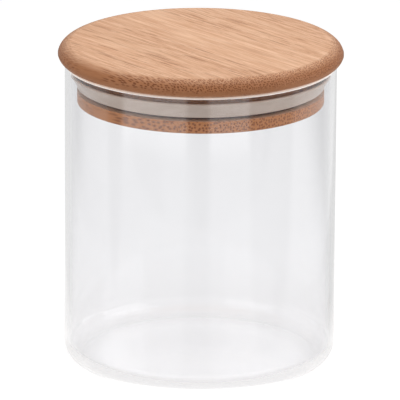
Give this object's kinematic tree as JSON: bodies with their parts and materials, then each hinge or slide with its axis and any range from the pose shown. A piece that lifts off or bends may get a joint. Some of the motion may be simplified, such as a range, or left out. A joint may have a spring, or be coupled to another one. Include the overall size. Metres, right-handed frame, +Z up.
{
  "type": "lidded glass canister",
  "caption": "Straight round glass storage jar with a push-in laminated bamboo lid whose plug carries a silicone sealing ring.",
  "frame": {"origin": "centre of the jar's foot, on the surface that it stands on", "axes": "+Z up along the axis of the jar, +X along the grain of the lid's face"},
  "size_m": [0.105, 0.105, 0.1206],
  "materials": {
    "glass": "clear polished borosilicate glass",
    "silicone": "translucent satin silicone",
    "bamboo": "oiled satin carbonised bamboo"
  },
  "bodies": {
    "jar": {"glass_jar": "glass"},
    "gasket": {"silicone_gasket": "silicone"},
    "lid": {"face_strip_1": "bamboo", "face_strip_2": "bamboo", "face_strip_3": "bamboo", "face_strip_4": "bamboo", "face_strip_5": "bamboo", "face_strip_6": "bamboo", "core_strip_1": "bamboo", "core_strip_2": "bamboo", "core_strip_3": "bamboo", "core_strip_4": "bamboo", "core_strip_5": "bamboo", "base_strip_1": "bamboo", "base_strip_2": "bamboo", "base_strip_3": "bamboo", "base_strip_4": "bamboo", "base_strip_5": "bamboo"}
  },
  "joints": [
    {"name": "lid_lift", "type": "slide", "parent": "jar", "child": "gasket", "axis": [0, 0, 1], "range_m": [0, 0.1]},
    {"name": "lid_twist", "type": "hinge", "parent": "gasket", "child": "lid", "pos_m": [0, 0, 0.1075], "axis": [0, 0, 1], "continuous": true}
  ]
}
